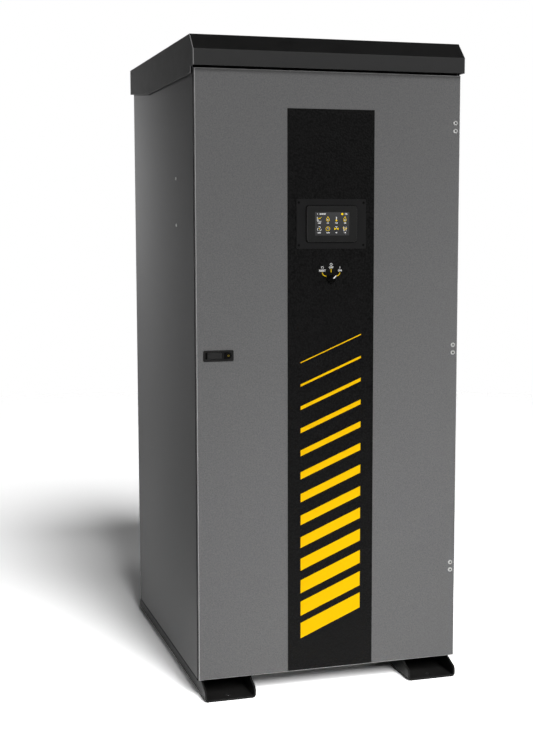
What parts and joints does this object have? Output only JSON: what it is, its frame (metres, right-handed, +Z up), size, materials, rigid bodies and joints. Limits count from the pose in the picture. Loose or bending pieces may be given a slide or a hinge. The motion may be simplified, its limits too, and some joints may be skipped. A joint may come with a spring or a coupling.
{
  "type": "industrial boiler",
  "caption": "Tall grey sheet-steel boiler cabinet on formed skids, with a black hood-like lid, a hinged front door carrying a display, selector switch and flush latch, and rear connections.",
  "frame": {"origin": "on the floor under the middle of the part", "axes": "+X to the right of a person who faces the door, +Y to the back, +Z up"},
  "size_m": [0.774, 0.943, 1.8025],
  "materials": {
    "cabinet_paint": "fine-textured mid-grey powder coat",
    "black_paint": "satin black powder coat",
    "gasket_rubber": "matt black foam rubber",
    "door_insulation": "dark grey faced insulation board",
    "strip_film": "black textured film",
    "display_frame": "satin black plate",
    "display_plastic": "dark glossy plastic with a glass front",
    "display_glass": "dark screen",
    "switch_plastic": "black moulded plastic",
    "latch_plastic": "black moulded plastic",
    "lever_plastic": "dark grey moulded plastic",
    "zinc_steel": "zinc-plated steel",
    "jacket_steel": "embossed aluminium jacket over insulation",
    "stainless_steel": "dull stainless steel",
    "primer_steel": "dark primer on steel",
    "cast_aluminium": "sand-cast aluminium",
    "motor_plastic": "black moulded cover",
    "valve_body": "die-cast aluminium",
    "gas_steel": "black steel pipe",
    "filter_plastic": "grey moulded plastic",
    "box_paint": "light grey painted steel"
  },
  "bodies": {
    "cabinet": {"left_skid": "black_paint", "right_skid": "black_paint", "base_deck": "black_paint", "left_side_panel": "cabinet_paint", "right_side_panel": "cabinet_paint", "back_panel": "cabinet_paint", "lid": "black_paint", "front_left_post": "black_paint", "front_right_post": "black_paint", "front_header": "black_paint", "front_sill": "black_paint", "door_gasket": "gasket_rubber", "vessel_skirt": "primer_steel", "flue_collector": "stainless_steel", "vessel_shell": "jacket_steel", "vessel_top_head": "stainless_steel", "burner_plate": "cast_aluminium", "blower_housing": "cast_aluminium", "blower_motor": "motor_plastic", "air_mixer": "cast_aluminium", "gas_valve": "valve_body", "gas_pipe": "gas_steel", "air_filter_box": "filter_plastic", "air_duct": "filter_plastic", "supply_nozzle": "primer_steel", "return_nozzle": "primer_steel", "flue_outlet": "stainless_steel", "condensate_drain": "filter_plastic", "electrical_box": "box_paint", "bottom_hinge_fixed_leaf": "zinc_steel", "middle_hinge_fixed_leaf": "zinc_steel", "top_hinge_fixed_leaf": "zinc_steel"},
    "door": {"door_panel": "cabinet_paint", "door_liner": "door_insulation", "door_strip": "strip_film", "display_plate": "display_frame", "display_housing": "display_plastic", "display_screen": "display_glass", "selector_body": "switch_plastic", "latch_body": "latch_plastic", "bottom_hinge_door_leaf": "zinc_steel", "middle_hinge_door_leaf": "zinc_steel", "top_hinge_door_leaf": "zinc_steel"},
    "selector_knob": {"selector_knob": "switch_plastic"},
    "latch_lever": {"latch_lever": "lever_plastic"}
  },
  "joints": [
    {"name": "door_swing", "type": "hinge", "parent": "cabinet", "child": "door", "pos_m": [0.381, -0.42475, 0.0525], "axis": [0, 0, 1], "range_deg": [0, 120]},
    {"name": "selector_turn", "type": "hinge", "parent": "door", "child": "selector_knob", "pos_m": [0, -0.444, 1.1545], "axis": [0, -1, 0], "range_deg": [0, 90]},
    {"name": "lever_pull", "type": "hinge", "parent": "door", "child": "latch_lever", "pos_m": [-0.3113, -0.439, 0.9505], "axis": [0, 0, 1], "range_deg": [0, 45], "stiffness_Nm_per_rad": 0.3}
  ]
}
